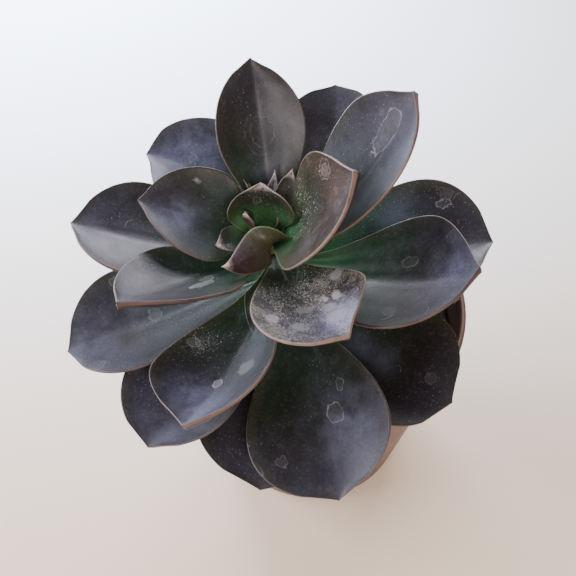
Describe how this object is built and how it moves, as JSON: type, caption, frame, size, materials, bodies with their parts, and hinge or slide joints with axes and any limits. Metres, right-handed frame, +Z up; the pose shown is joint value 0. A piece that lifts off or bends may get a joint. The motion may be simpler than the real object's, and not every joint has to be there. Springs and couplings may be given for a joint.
{
  "type": "potted echeveria",
  "caption": "Rosette succulent with dark, waxy, spoon-shaped leaves on a short leaning stem, rooted in soil in a small round nursery pot.",
  "frame": {"origin": "middle of the pot's flat underside", "axes": "+Z up; -Y is the side the picture was taken from, so the rosette leans to -X, the viewer's left"},
  "size_m": [0.1088, 0.1152, 0.1423],
  "materials": {
    "pot": "moulded terracotta-coloured plastic",
    "soil": "dark crumbly compost",
    "stem": "woody green stalk",
    "leaf": "waxy purple-black skin",
    "heart": "waxy green skin"
  },
  "bodies": {
    "root": {"pot": "pot", "stem": "stem", "soil": "soil", "leaf_outer_back": "leaf", "leaf_outer_front": "leaf", "leaf_outer_front_right": "leaf", "leaf_outer_back_right": "leaf", "leaf_outer_back_left": "leaf", "leaf_outer_front_left": "leaf", "leaf_outer_right": "leaf", "leaf_outer_left": "leaf", "leaf_broad_front": "leaf", "leaf_middle_left": "leaf", "leaf_middle_front": "leaf", "leaf_middle_right": "leaf", "leaf_middle_back_right": "leaf", "leaf_inner_front_left": "leaf", "leaf_upright_back": "leaf", "leaf_inner_left": "leaf", "leaf_short_front": "leaf", "leaf_twisted_right": "leaf", "heart": "heart"}
  },
  "joints": []
}
